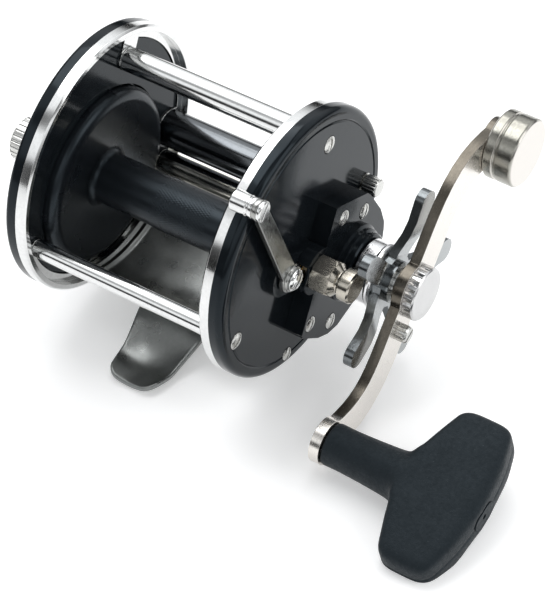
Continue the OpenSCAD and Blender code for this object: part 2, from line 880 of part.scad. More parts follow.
module clutch_yoke() {
    way = post_at - spool_at;
    color([0.62, 0.62, 0.64])
    difference() {
        along_x(spool_at, recess_x + 1.3) linear_extrude(0.8) link_shape(5.9, 5.2, 4);
        rod(spool_at, recess_x, recess_x + 4, 3.4 + fit);
        along_x(spool_at, recess_x) rotate(atan2(way[1], way[0])) linear_extrude(4)
            translate([0, -3.4 - fit]) square([8, 6.8 + 2 * fit]);
        rod(lever_at, recess_x, recess_x + 4, 2.35);
    }
}

module pinion() {
    color([0.78, 0.6, 0.3])
    difference() {
        union() {
            turned(spool_at, [
                [0, recess_x + 0.3], [4.4, recess_x + 0.3], [4.4, recess_x + 1.1],
                [3.4, recess_x + 1.2], [3.4, recess_x + 2.2], [4.4, recess_x + 2.3],
                [4.2, gear_x + 0.1], [4.2, gear_x + gear_t + 0.2], [0, gear_x + gear_t + 0.2]
            ]);
            along_x(spool_at, gear_x) rotate(mesh_angle) linear_extrude(gear_t)
                gear_shape(pinion_teeth, pinion_r);
        }
        rod(spool_at, recess_x - 1, roof_x, shaft_r + fit);
    }
}

// ---- Caps, take-apart screw, click and dog ----

// Fine ribs round a knob of radius r
module ribs(n, r, h, depth) {
    for (i = [0:n - 1]) rotate(i * 360 / n) translate([r + depth, 0, -0.5])
        cylinder(h = h + 1, r = 2 * depth);
}

module left_bearing_cap() {
    color([0.75, 0.75, 0.77])
    translate([-in, spool_at[0], spool_at[1]]) rotate([90, 0, -90]) difference() {
        rotate_extrude() polygon([
            [6.5 + fit, 10.3], [8.8, 10.3], [9, 10.6], [9, 15.4], [8, 16.5], [0, 16.5],
            [0, 13.6], [6.5 + fit, 13.6]
        ]);
        translate([0, 0, 10.1]) ribs(30, 9, 4.4, 0.25);
    }
}

module tension_knob() {
    color([0.82, 0.82, 0.84])
    along_x(spool_at, roof_x + 0.5) difference() {
        union() {
            intersection() {
                rotate(15) cylinder(h = 6, r = 5.9, $fn = 6);
                rotate_extrude() polygon([
                    [0, 0], [5.3, 0], [5.9, 0.6], [5.9, 5.2], [5.2, 6], [0, 6]
                ]);
            }
            rotate_extrude() polygon([
                [0, 5], [5, 5], [5, 6], [3.5, 7.6], [3.5, 8.2], [4.9, 9],
                [4.9, 12], [4.4, 12.5], [0, 12.5]
            ]);
        }
        translate([0, 0, -1]) cylinder(h = 5, r = 4 + fit);
    }
}

module takeapart_screw() {
    color([0.75, 0.75, 0.77])
    along_x(takeapart_at, face_x) difference() {
        rotate_extrude() polygon([
            [0, -4], [1.55, -4], [1.55, 0.3], [2.5, 0.3], [2.9, 0.7], [2.9, 4.6], [2.5, 5.1],
            [0, 5.3]
        ]);
        translate([0, 0, 0.9]) ribs(16, 2.9, 3.4, 0.2);
    }
}

module click_button() {
    color([0.75, 0.75, 0.77])
    translate([dome_x, click_at[0], click_at[1]]) rotate([90, 0, -90]) difference() {
        union() {
            rotate_extrude() polygon([
                [0, 0.6], [6.2, 0.6], [6.5, 0.9], [6.5, 5], [5.9, 5.6], [0, 5.9]
            ]);
            translate([0, 0, -6]) cylinder(h = 7, r = 2.1);
        }
        translate([0, 0, 0.8]) ribs(24, 6.5, 3.6, 0.25);
    }
}

module click_pawl() {
    way = (spool_at - click_at) / norm(spool_at - click_at);
    color([0.62, 0.62, 0.64])
    along_x(click_at, -recess_x - 2.6) rotate(atan2(way[1], way[0])) linear_extrude(1.6) {
        circle(r = 2.6);
        polygon([[0, -1.6], [8.6, -1.6], [11, -0.3], [11, 0.3], [8.6, 1.6], [0, 1.6]]);
    }
}

module dog_pawl() {
    toe = polar([0, 0], 8.75, -46) - polar([0, 0], 12.2, -62);
    color([0.62, 0.62, 0.64])
    difference() {
        along_x(dog_at, bridge_x + 1.7) rotate(atan2(toe[1], toe[0])) linear_extrude(0.9) {
            circle(r = 2);
            polygon([[0, -1.5], [norm(toe) - 1, -0.9], [norm(toe), 0], [norm(toe) - 1, 1], [0, 1.8]]);
        }
        rod(dog_at, bridge_x, gear_x, 0.9 + fit);
    }
}

left_plate();
right_plate();
left_ring();
right_ring();
top_pillar();
rear_pillar();
front_pillars();
stand();
reel_foot();
foot_rivets();
stand_screws();
left_plate_screws();
right_plate_screws();
gear_housing();
housing_screws();
bridge_plate();
bridge_screws();
gear_stud();
dog_pin();
left_bush();
right_bush();
click_spring();
takeapart_seat();
spool();
spool_shaft();
click_ratchet();
gear_sleeve();
main_gear();
drag_washers();
dog_ratchet();
drag_spacer();
handle_arm();
counterweight();
handle_nut();
nut_lock_screw();
knob_spindle();
knob_grip();
knob_end_plug();
star_drag();
clutch_lever();
lever_post();
lever_screw();
clutch_cam();
clutch_yoke();
pinion();
left_bearing_cap();
tension_knob();
takeapart_screw();
click_button();
click_pawl();
dog_pawl();
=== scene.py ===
"""Looks of the trolling reel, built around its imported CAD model. Lengths are in metres."""
import json
import math

import bmesh
import bpy
from mathutils import Matrix, Vector


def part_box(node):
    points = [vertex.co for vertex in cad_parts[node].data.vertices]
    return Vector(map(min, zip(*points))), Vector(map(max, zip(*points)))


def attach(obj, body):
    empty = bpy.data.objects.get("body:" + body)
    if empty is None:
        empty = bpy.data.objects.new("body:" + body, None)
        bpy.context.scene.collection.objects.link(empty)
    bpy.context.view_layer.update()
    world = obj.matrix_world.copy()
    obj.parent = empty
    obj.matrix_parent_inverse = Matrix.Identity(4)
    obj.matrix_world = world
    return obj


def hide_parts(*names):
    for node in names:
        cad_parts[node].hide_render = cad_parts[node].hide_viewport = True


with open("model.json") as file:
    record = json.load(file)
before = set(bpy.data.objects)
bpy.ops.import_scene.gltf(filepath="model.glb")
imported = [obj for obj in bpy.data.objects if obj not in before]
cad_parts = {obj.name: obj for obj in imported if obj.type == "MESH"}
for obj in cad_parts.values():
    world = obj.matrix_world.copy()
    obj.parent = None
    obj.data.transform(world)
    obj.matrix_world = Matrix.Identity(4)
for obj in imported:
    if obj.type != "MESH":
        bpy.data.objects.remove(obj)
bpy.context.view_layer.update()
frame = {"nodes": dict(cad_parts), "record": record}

MM = 0.001
MICRON = 0.000001
NODES = frame["nodes"]
RECORD = frame["record"]
BODY_OF = {node: body for body, nodes in RECORD["behaviour"]["bodies"].items() for node in nodes}
SLOT_OF = {part["node"]: part["material_slot"] for part in RECORD["subparts"]}


def middle(node):
    """Centre of a node's box at rest."""
    low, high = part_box(node)
    return (low + high) / 2


def axis_of(node):
    """Centre of a turned node as (y, z)."""
    place = middle(node)
    return place.y, place.z


SPOOL = axis_of("spool")
POST = axis_of("gear_stud")
RINGS = axis_of("right_ring")
SPINDLE = axis_of("knob_spindle")


# ---- Materials ----

class Shader:
    """A material's node tree, with short calls for the nodes that the materials share."""

    def __init__(self, name, colour, metallic, roughness):
        self.material = bpy.data.materials.new(name)
        self.material.use_nodes = True
        self.nodes = self.material.node_tree.nodes
        self.links = self.material.node_tree.links
        self.bsdf = self.nodes["Principled BSDF"]
        self.bsdf.inputs["Base Color"].default_value = (*colour, 1)
        self.bsdf.inputs["Metallic"].default_value = metallic
        self.bsdf.inputs["Roughness"].default_value = roughness
        coordinates = self.nodes.new("ShaderNodeTexCoord")
        self.place = coordinates.outputs["Object"]
        self.facing = coordinates.outputs["Normal"]
        self.height = None

    def link(self, output, socket):
        self.links.new(output, socket)

    def math(self, operation, a, b=0.0):
        node = self.nodes.new("ShaderNodeMath")
        node.operation = operation
        for socket, value in zip(node.inputs, (a, b)):
            if isinstance(value, (int, float)):
                socket.default_value = value
            else:
                self.link(value, socket)
        return node.outputs[0]

    def stretched(self, scale):
        """The place scaled by a different amount along each axis, for grain."""
        node = self.nodes.new("ShaderNodeVectorMath")
        node.operation = "MULTIPLY"
        self.link(self.place, node.inputs[0])
        node.inputs[1].default_value = scale
        return node.outputs[0]

    def split(self, vector):
        """The X, Y and Z sockets of a vector."""
        node = self.nodes.new("ShaderNodeSeparateXYZ")
        self.link(vector, node.inputs[0])
        return node.outputs

    def around(self, centre):
        """(distance from an axis along X, place along it) as sockets, for turned work."""
        parts = self.split(self.place)
        y = self.math("SUBTRACT", parts["Y"], centre[0])
        z = self.math("SUBTRACT", parts["Z"], centre[1])
        square = self.math("ADD", self.math("MULTIPLY", y, y), self.math("MULTIPLY", z, z))
        return self.math("SQRT", square), parts["X"]

    def turned(self, centre, pitch):
        """Coordinates that only change across turning marks, which run around an axis."""
        radius, along = self.around(centre)
        node = self.nodes.new("ShaderNodeCombineXYZ")
        self.link(self.math("MULTIPLY", radius, 1 / pitch), node.inputs[0])
        self.link(self.math("MULTIPLY", along, 1 / pitch), node.inputs[1])
        return node.outputs[0]

    def noise(self, scale, detail=3.0, vector=None, roughness=0.55):
        """Noise over the object's own place, or over another vector."""
        node = self.nodes.new("ShaderNodeTexNoise")
        node.inputs["Scale"].default_value = scale
        node.inputs["Detail"].default_value = detail
        node.inputs["Roughness"].default_value = roughness
        self.link(self.place if vector is None else vector, node.inputs["Vector"])
        return node.outputs["Fac"]

    def ramp(self, factor, low, high, start=0.3, end=0.7):
        """Maps factor from start..end onto low..high."""
        node = self.nodes.new("ShaderNodeMapRange")
        node.inputs["From Min"].default_value = start
        node.inputs["From Max"].default_value = end
        node.inputs["To Min"].default_value = low
        node.inputs["To Max"].default_value = high
        self.link(factor, node.inputs["Value"])
        return node.outputs["Result"]

    def blend(self, factor, first, second):
        """A colour between two colours, or between a colour socket and a colour."""
        node = self.nodes.new("ShaderNodeMix")
        node.data_type = "RGBA"
        self.link(factor, node.inputs["Factor"])
        colours = [i for i in node.inputs if i.type == "RGBA"]
        for socket, value in zip(colours, (first, second)):
            if isinstance(value, tuple):
                socket.default_value = (*value, 1)
            else:
                self.link(value, socket)
        return [o for o in node.outputs if o.type == "RGBA"][0]

    def colour(self, output):
        self.link(output, self.bsdf.inputs["Base Color"])

    def rough(self, output):
        self.link(output, self.bsdf.inputs["Roughness"])

    def bump(self, height, depth):
        """Adds relief of this depth, in metres, over what is there already."""
        node = self.nodes.new("ShaderNodeBump")
        node.inputs["Distance"].default_value = depth
        self.link(height, node.inputs["Height"])
        if self.height is not None:
            self.link(self.height, node.inputs["Normal"])
        self.height = node.outputs["Normal"]
        self.link(self.height, self.bsdf.inputs["Normal"])


def chrome(name, colour, roughness, scratches=0.4, waves=0.5):
    """Plating: soft waves in the metal under it, fine scratches and a few dull smears."""
    s = Shader(name, colour, 1, roughness)
    s.rough(s.ramp(s.noise(110, 2), roughness * 0.75, roughness * 1.3))
    s.colour(s.blend(s.ramp(s.noise(900, 4), 0, 0.3), colour, tuple(c * 0.7 for c in colour)))
    s.bump(s.noise(140, 1), 40 * MICRON * waves)
    s.bump(s.noise(1, 2, s.stretched((900, 5200, 5200))), 6 * MICRON * scratches)
    s.bump(s.noise(1, 2, s.stretched((6000, 1100, 1700))), 5 * MICRON * scratches)
    return s.material


def satin_metal(name, colour, roughness, grain, depth=12 * MICRON):
    """Ground or tumbled metal with slight stains. Grain is the noise's scale along each axis."""
    s = Shader(name, colour, 1, roughness)
    s.colour(s.blend(s.ramp(s.noise(160, 3), 0, 0.25), colour, tuple(c * 0.74 for c in colour)))
    s.rough(s.ramp(s.noise(1, 3, s.stretched(grain)), roughness * 0.8, roughness * 1.25))
    s.bump(s.noise(1, 3, s.stretched(grain)), depth)
    s.bump(s.noise(2600, 2), depth * 0.6)
    return s.material


def cut_metal(name, face, edge, roughness, grain, bright_end=None):
    """Metal with ground faces across X in the face colour, and all other surfaces in the darker
    edge colour as painted shade, except at a turned end.
    """
    end_radius = 7.2 * MM
    s = Shader(name, face, 1, roughness)
    # Surfaces facing along X keep the face colour; all others get painted shade in the edge colour.
    flat = s.ramp(s.math("ABSOLUTE", s.split(s.facing)["X"]), 0, 1, 0.55, 0.9)
    # Round the turned end the face colour is kept, without the painted shade.
    if bright_end is not None:
        reach = s.around(bright_end)[0]
        flat = s.math("MAXIMUM", flat, s.ramp(reach, 1, 0, end_radius, end_radius + MM))
    cuts = s.noise(1, 3, s.stretched((5200, 1300, 1300)))
    # The cut streaks vary the painted shade on the sides.
    painted_shade_side = s.blend(s.ramp(cuts, 0, 0.6), edge, tuple(c * 1.6 for c in edge))
    s.colour(s.blend(flat, painted_shade_side, face))
    s.rough(s.ramp(s.noise(1, 3, s.stretched(grain)), roughness * 0.8, roughness * 1.3))
    s.bump(s.noise(1, 3, s.stretched(grain)), 8 * MICRON)
    s.bump(cuts, 3 * MICRON)
    return s.material


def turned_metal(name, colour, roughness, centre, pitch=0.22 * MM):
    """Lathe-turned metal, whose marks run around the part's own axis."""
    s = Shader(name, colour, 1, roughness)
    marks = s.noise(1, 3, s.turned(centre, pitch))
    s.colour(s.blend(s.ramp(s.noise(150, 4), 0, 0.4), colour, tuple(c * 0.8 for c in colour)))
    s.rough(s.ramp(marks, roughness * 0.7, roughness * 1.4))
    s.bump(marks, 12 * MICRON)
    tangent = s.nodes.new("ShaderNodeTangent")
    tangent.direction_type = "RADIAL"
    tangent.axis = "X"
    s.link(tangent.outputs["Tangent"], s.bsdf.inputs["Tangent"])
    s.bsdf.inputs["Anisotropic"].default_value = 0.6
    return s.material


def black_plastic(name, tones, gloss, polish):
    """Moulded plastic in near-black tones, with a cool sheen, polishing haze and light dust."""
    s = Shader(name, tones[0], 0, gloss[0])
    s.bsdf.inputs["Specular IOR Level"].default_value = polish
    s.bsdf.inputs["Specular Tint"].default_value = (0.72, 0.88, 1, 1)
    mottle = s.blend(s.ramp(s.noise(220, 4), 0, 0.6), *tones)
    specks = s.ramp(s.noise(3200, 2), 0, 0.5, 0.72, 0.8)
    s.colour(s.blend(specks, mottle, (0.08, 0.085, 0.09)))
    s.rough(s.ramp(s.noise(60, 5), *gloss, 0.3, 0.75))
    s.bump(s.noise(3600, 2), 3 * MICRON)
    return s


def black_moulding():
    """Polished phenolic side plates and gear housing."""
    tones = (0.005, 0.0065, 0.008), (0.01, 0.0125, 0.015)
    s = black_plastic("black_moulding", tones, (0.07, 0.15), 0.2)
    s.bump(s.noise(300, 1), 10 * MICRON)
    return s.material


def black_spool():
    """Satin black spool with fine turning marks."""
    tones = (0.005, 0.006, 0.0075), (0.009, 0.011, 0.014)
    s = black_plastic("black_spool", tones, (0.24, 0.34), 0.34)
    s.bump(s.noise(1, 2, s.turned(SPOOL, 0.35 * MM)), 4 * MICRON)
    return s.material


def grip_rubber():
    """Matte charcoal rubber with a fine pebbled skin and rubbed high spots."""
    s = Shader("grip_rubber", (0.01, 0.012, 0.015), 0, 0.6)
    s.bsdf.inputs["Specular IOR Level"].default_value = 0.26
    s.bsdf.inputs["Specular Tint"].default_value = (0.75, 0.9, 1, 1)
    s.bsdf.inputs["Sheen Weight"].default_value = 0.05
    s.bsdf.inputs["Sheen Roughness"].default_value = 0.5
    dark, light = (0.0055, 0.0085, 0.011), (0.0105, 0.0145, 0.018)
    tone = s.blend(s.ramp(s.noise(130, 5), 0, 0.7), dark, light)
    specks = s.ramp(s.noise(2400, 2), 0, 0.5, 0.68, 0.78)
    s.colour(s.blend(specks, tone, (0.06, 0.07, 0.08)))
    s.rough(s.ramp(s.noise(900, 3), 0.48, 0.7))
    s.bump(s.noise(1500, 3, roughness=0.7), 120 * MICRON)
    s.bump(s.noise(4200, 2), 30 * MICRON)
    return s.material


def drag_fibre():
    """Brown fibre of the drag washers, which are hidden in the gear housing."""
    s = Shader("drag_fibre", (0.16, 0.11, 0.07), 0, 0.7)
    s.colour(s.blend(s.ramp(s.noise(800, 5), 0, 0.8), (0.18, 0.12, 0.075), (0.08, 0.055, 0.035)))
    s.bump(s.noise(2200, 4), 50 * MICRON)
    return s.material


BRIGHT = (0.74, 0.745, 0.74)
WARM = (0.74, 0.71, 0.67)
MATERIALS = {
    "black_moulding": black_moulding(),
    "black_spool": black_spool(),
    "chrome_plate": chrome("chrome_plate", BRIGHT, 0.12),
    "worn_chrome": chrome("worn_chrome", (0.25, 0.26, 0.255), 0.3, scratches=1.5, waves=0.4),
    "machined_steel": satin_metal("machined_steel", (0.62, 0.62, 0.60), 0.24, (700, 3600, 3600)),
    "hardened_steel": satin_metal("hardened_steel", (0.42, 0.42, 0.44), 0.3, (900, 2600, 2600)),
    "gear_brass": satin_metal("gear_brass", (0.78, 0.58, 0.3), 0.25, (2800, 900, 900)),
    "drag_fibre": drag_fibre(),
    "grip_rubber": grip_rubber(),
}
# A dark chrome colour for the thick front pillar, which is a painted reflection of the black spool.
SPOOL_REFLECTION_CHROME = chrome("spool_reflection_chrome", (0.15, 0.16, 0.17), 0.16)
CREAM_CHROME = chrome("cream_chrome", (0.78, 0.76, 0.68), 0.18)
# The second colour of each cut_metal below is painted shade on surfaces facing away from X, on the
# counterweight its turned sides.
ARM_METAL = cut_metal("handle_nickel", WARM, (0.1, 0.09, 0.075), 0.22, (2400, 700, 900), SPINDLE)
LEVER_METAL = cut_metal("lever_nickel", (0.33, 0.34, 0.33), (0.3, 0.3, 0.29), 0.2, (2400, 900, 700))
STAR_METAL = cut_metal(
    "star_nickel", (0.36, 0.375, 0.38), (0.13, 0.14, 0.145), 0.18, (2400, 900, 900)
)
WEIGHT_METAL = cut_metal(
    "turned_counterweight", (0.66, 0.635, 0.6), (0.24, 0.235, 0.21), 0.2, (4200, 500, 500)
)
KNOB_METAL = satin_metal("tension_nickel", (0.5, 0.47, 0.41), 0.18, (900, 2400, 2400), 6 * MICRON)
NUT_METAL = turned_metal("turned_nut", (0.62, 0.62, 0.62), 0.2, POST)
SPACER_METAL = turned_metal("turned_spacer", (0.76, 0.76, 0.77), 0.16, POST, 0.3 * MM)


# ---- Pieces ----

# Degrees between two faces above which the edge between them is bevelled, or shaded sharp
BEVEL_ABOVE = 35
CREASE = 38
CREASES = {"left_plate": 18, "right_plate": 18}
# Width in mm of the bevel on each visible node's sharp edges. The spool only gets new shading.
ROUNDED = {
    "left_plate": 0.3, "right_plate": 0.3, "left_ring": 0.25, "right_ring": 0.25,
    "gear_housing": 0.5, "handle_arm": 0.4, "star_drag": 0.5, "clutch_lever": 0.3,
    "lever_post": 0.15, "lever_screw": 0.1, "tension_knob": 0.12, "handle_nut": 0.12,
    "nut_lock_screw": 0.08, "counterweight": 0.2, "drag_spacer": 0.15, "takeapart_screw": 0.1,
    "left_bearing_cap": 0.1, "click_button": 0.1, "spool": 0,
    "top_pillar": 0.1, "rear_pillar": 0.1, "front_pillars": 0.1,
    "right_plate_screws": 0.05, "left_plate_screws": 0.05, "housing_screws": 0.05,
    "stand_screws": 0.05, "knob_spindle": 0.1, "knob_end_plug": 0.12, "foot_rivets": 0.1,
}
# Nodes whose metal differs from the material of their slot
OWN_METAL = {
    "handle_arm": ARM_METAL, "counterweight": WEIGHT_METAL, "handle_nut": NUT_METAL,
    "drag_spacer": SPACER_METAL, "clutch_lever": LEVER_METAL, "star_drag": STAR_METAL,
    "tension_knob": KNOB_METAL,
}
# Nodes that are modelled anew by foot(), stand() and grip()
REMADE = ("reel_foot", "stand", "knob_grip")


def add_object(name, data):
    thing = bpy.data.objects.new(name, data)
    bpy.context.scene.collection.objects.link(thing)
    return thing


def mesh_from(work, name):
    """Turns a bmesh into a mesh, and frees the bmesh."""
    mesh = bpy.data.meshes.new(name)
    work.to_mesh(mesh)
    work.free()
    return mesh


def piece_from(mesh, name, node, material):
    """Links a finished mesh as the piece that stands for a CAD node."""
    piece = add_object(name, mesh)
    mesh.materials.clear()
    mesh.materials.append(material)
    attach(piece, BODY_OF[node])
    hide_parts(node)
    return piece


def apply_modifiers(piece):
    """Replaces the piece's mesh by what its modifiers make of it."""
    depsgraph = bpy.context.evaluated_depsgraph_get()
    mesh = bpy.data.meshes.new_from_object(piece.evaluated_get(depsgraph))
    old = piece.data
    piece.modifiers.clear()
    piece.data = mesh
    bpy.data.meshes.remove(old)


def smooth_by_angle(mesh, degrees):
    """Smooth shading, with sharp edges where faces meet at more than this angle."""
    for polygon in mesh.polygons:
        polygon.use_smooth = True
    mesh.set_sharp_from_angle(angle=math.radians(degrees))


def clean_copy(node):
    """The CAD node's mesh as one closed skin, with its flat faces joined up again."""
    work = bmesh.new()
    work.from_mesh(NODES[node].data)
    bmesh.ops.remove_doubles(work, verts=work.verts, dist=2 * MICRON)
    bmesh.ops.dissolve_limit(
        work, angle_limit=math.radians(0.6), verts=work.verts, edges=work.edges,
        use_dissolve_boundaries=False, delimit={"NORMAL"},
    )
    return mesh_from(work, node + "_mesh")


def even_normals(piece, degrees):
    """Smooth shading that keeps flat faces flat."""
    smooth_by_angle(piece.data, degrees)
    shade = piece.modifiers.new("shade", "WEIGHTED_NORMAL")
    shade.keep_sharp = True
    shade.weight = 100
    apply_modifiers(piece)


def rounded(node, width, material=None):
    """A finished copy of a CAD node whose sharp edges are rounded by a real bevel."""
    piece = piece_from(
        clean_copy(node), node + "_finished", node, material or MATERIALS[SLOT_OF[node]]
    )
    if width:
        bevel = piece.modifiers.new("edge", "BEVEL")
        bevel.width = width * MM
        bevel.segments = 2
        bevel.limit_method = "ANGLE"
        bevel.angle_limit = math.radians(BEVEL_ABOVE)
        bevel.miter_outer = "MITER_ARC"
        apply_modifiers(piece)
    even_normals(piece, CREASES.get(node, CREASE))
    return piece


def two_pillars(piece):
    """The thick front pillar gets a dark chrome colour, a painted reflection of the black spool,
    and the thin one under it is warm and bright.
    """
    piece.data.materials.clear()
    piece.data.materials.append(SPOOL_REFLECTION_CHROME)
    piece.data.materials.append(CREAM_CHROME)
    halfway = middle("front_pillars").z - 3 * MM
    for polygon in piece.data.polygons:
        polygon.material_index = int(polygon.center.z < halfway)


def dress_cad():
    """Rounds the edges of the visible nodes, and gives the rest their finish as they are."""
    for node, width in ROUNDED.items():
        piece = rounded(node, width, OWN_METAL.get(node))
        if node == "front_pillars":
            two_pillars(piece)
    for node, part in NODES.items():
        if node not in ROUNDED and node not in REMADE:
            part.data.materials.clear()
            part.data.materials.append(MATERIALS[SLOT_OF[node]])


def smoothstep(value, start, end):
    """0 below start, 1 above end, and a soft rise between them."""
    t = min(1, max(0, (value - start) / (end - start)))
    return t * t * (3 - 2 * t)


def sheet(name, node, material, rows, thickness, edge):
    """A pressed sheet with a rounded rim. Each point of rows is (place on top, way down).

    Edge is the rim's radius, which the rim adds to the sheet's outline on every side.
    """
    last_row, last = len(rows) - 1, len(rows[0]) - 1
    work = bmesh.new()
    tops = [[work.verts.new(place) for place, _ in row] for row in rows]
    lows = [[work.verts.new(place + down * thickness) for place, down in row] for row in rows]
    for j in range(last_row):
        for i in range(last):
            work.faces.new((tops[j][i], tops[j][i + 1], tops[j + 1][i + 1], tops[j + 1][i]))
            work.faces.new((lows[j][i], lows[j + 1][i], lows[j + 1][i + 1], lows[j][i + 1]))
    loop = [(0, i) for i in range(last)] + [(j, last) for j in range(last_row)]
    loop += [(last_row, i) for i in range(last, 0, -1)] + [(j, 0) for j in range(last_row, 0, -1)]
    centre = rows[last_row // 2][last // 2][0]
    rings = [[tops[j][i] for j, i in loop]]
    rim = [(angle, False) for angle in (30, 60, 90)] + [(angle, True) for angle in (90, 60, 30)]
    for angle, low_side in rim:
        turn = math.radians(angle)
        ring = []
        for k, (j, i) in enumerate(loop):
            place, down = rows[j][i]
            before, after = loop[k - 1], loop[(k + 1) % len(loop)]
            along = rows[after[0]][after[1]][0] - rows[before[0]][before[1]][0]
            out = along.cross(down).normalized()
            if out.dot(place - centre) < 0:
                out = -out
            sink = edge * (1 - math.cos(turn))
            depth = thickness - sink if low_side else sink
            ring.append(work.verts.new(place + out * edge * math.sin(turn) + down * depth))
        rings.append(ring)
    rings.append([lows[j][i] for j, i in loop])
    for first, second in zip(rings, rings[1:]):
        for k in range(len(loop)):
            n = (k + 1) % len(loop)
            work.faces.new((first[k], second[k], second[n], first[n]))
    bmesh.ops.recalc_face_normals(work, faces=work.faces)
    mesh = mesh_from(work, name)
    piece_from(mesh, name, node, material)
    smooth_by_angle(mesh, 60)


def foot():
    """The pressed foot: arched under the saddle, and dished like a spoon towards its tips."""
    _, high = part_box("reel_foot")
    edge, thickness, corner = 0.5 * MM, 1.7 * MM, 3.4 * MM
    crown, slope = 6 * MM, 22 * MM
    dish, upturn = 1.5 * MM, 0.5 * MM
    waist, taper = 2.6 * MM, 1.4 * MM
    saddle = 37.55 * MM
    length = high.y - edge
    steps_long, steps_corner, steps_across = 60, 8, 32

    def half_width(far):
        narrowed = waist * smoothstep(far, 9 * MM, 28 * MM)
        return high.x - edge - narrowed - taper * smoothstep(far, 26 * MM, length)

    def height(x, y, half):
        far, side = abs(y), x / half
        rise = 0.5 * (1 + math.cos(math.pi * min(1, max(0, (far - crown) / slope))))
        z = thickness + (high.z - thickness) * rise
        z += dish * smoothstep(far, 10 * MM, 24 * MM) * side ** 2
        z += upturn * smoothstep(far, 28 * MM, length)
        return min(z, RINGS[1] - math.sqrt(saddle ** 2 - min(far, saddle) ** 2))

    straight = length - corner
    places = [(straight * k / steps_long, 0) for k in range(steps_long + 1)]
    for step in range(1, steps_corner + 1):
        turn = math.radians(90 * step / steps_corner)
        places.append((straight + corner * math.sin(turn), corner * (1 - math.cos(turn))))
    ends = [(-y, cut) for y, cut in reversed(places)] + places[1:]
    rows = []
    for y, cut in ends:
        wide = half_width(abs(y))
        half = wide - cut
        sides = [half * (2 * i / steps_across - 1) for i in range(steps_across + 1)]
        rows.append([(Vector((x, y, height(x, y, wide))), Vector((0, 0, -1))) for x in sides])
    sheet("pressed_foot", "reel_foot", MATERIALS["worn_chrome"], rows, thickness, edge)


def stand():
    """The curved chrome saddle between the rings, with pressed beads near its ends."""
    low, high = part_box("stand")
    inner, thickness, edge = 35.84 * MM, 1.6 * MM, 0.4 * MM
    bead_places, bead_width, bead_height = (26.6, 29.2), 0.75 * MM, 0.7 * MM
    rear, sweep = -117.3, 54.6
    steps_along, steps_round = 180, 48
    rows = []
    for j in range(steps_along + 1):
        x = low.x + edge + (high.x - low.x - 2 * edge) * j / steps_along
        bead = sum(math.exp(-((abs(x) - place * MM) / bead_width) ** 2) for place in bead_places)
        row = []
        for i in range(steps_round + 1):
            angle = math.radians(rear + sweep * i / steps_round)
            way = Vector((0, math.cos(angle), math.sin(angle)))
            row.append((Vector((x, *RINGS)) + way * (inner - bead_height * bead), way))
        rows.append(row)
    sheet("pressed_stand", "stand", MATERIALS["worn_chrome"], rows, thickness, edge)


def knob_frame():
    """The knob's own directions: along its crossbar, and across it, as it stands at rest."""
    tilt = math.radians(18.4)
    return Vector((0, math.cos(tilt), math.sin(tilt))), Vector((0, -math.sin(tilt), math.cos(tilt)))


def clear_bore(mesh, axis):
    """Keeps the wall of the grip's bore clear of the spindle, which turns in it."""
    low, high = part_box("knob_spindle")
    near, gap = 0.8 * MM, 0.25 * MM
    halfway = (low.x + high.x) / 2
    spindle = max(math.hypot(v.co.y - axis.y, v.co.z - axis.z)
                  for v in NODES["knob_spindle"].data.vertices if v.co.x > halfway)
    for vertex in mesh.vertices:
        out = Vector((0, vertex.co.y - axis.y, vertex.co.z - axis.z))
        if vertex.co.x < high.x + 0.4 * MM and 0 < out.length < spindle + near:
            vertex.co += out.normalized() * (spindle + gap - out.length)


def grip():
    """The moulded grip: blended all round, with the mould's parting line round its rim."""
    along, across = knob_frame()
    axis = Vector((0, SPINDLE[0], SPINDLE[1]))
    low, high = (corner.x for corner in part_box("knob_grip"))
    piece = piece_from(
        clean_copy("knob_grip"), "rubber_grip", "knob_grip", MATERIALS["grip_rubber"]
    )
    remesh = piece.modifiers.new("skin", "REMESH")
    remesh.mode = "VOXEL"
    remesh.voxel_size = 0.5 * MM
    apply_modifiers(piece)
    # The smoothing fades out round the end plug, at the end next to the arm and round the bore.
    body = piece.vertex_groups.new(name="body")
    for vertex in piece.data.vertices:
        offset = vertex.co - axis
        reach = math.hypot(offset.y, offset.z)
        top = smoothstep(vertex.co.x, high - 4 * MM, high - 2 * MM)
        plug = 1 - top * (1 - smoothstep(reach, 4.8 * MM, 8 * MM))
        end = smoothstep(vertex.co.x, low + 1.5 * MM, low + 6 * MM)
        bore = smoothstep(reach, 2.8 * MM, 4 * MM)
        body.add([vertex.index], plug * end * bore, "REPLACE")
    soften = piece.modifiers.new("soften", "SMOOTH")
    soften.factor = 0.8
    soften.iterations = 60
    soften.vertex_group = "body"
    apply_modifiers(piece)
    clear_bore(piece.data, axis)
    parting_line(piece.data, axis, along, across, high)
    smooth_by_angle(piece.data, 60)


def parting_line(mesh, axis, along, across, top):
    """The fine groove where the mould's halves met, which fades out round the end plug."""
    depth, width = 0.28 * MM, 0.38 * MM
    normals = [vertex.normal.copy() for vertex in mesh.vertices]
    for vertex, normal in zip(mesh.vertices, normals):
        offset = vertex.co - axis
        aside = offset.dot(across)
        reach = math.hypot(offset.dot(along), aside)
        if reach > 9 * MM or vertex.co.x > top - 3 * MM:
            clear = smoothstep(reach, 5 * MM, 5.6 * MM)
            vertex.co -= normal * depth * clear * math.exp(-(aside / width) ** 2)


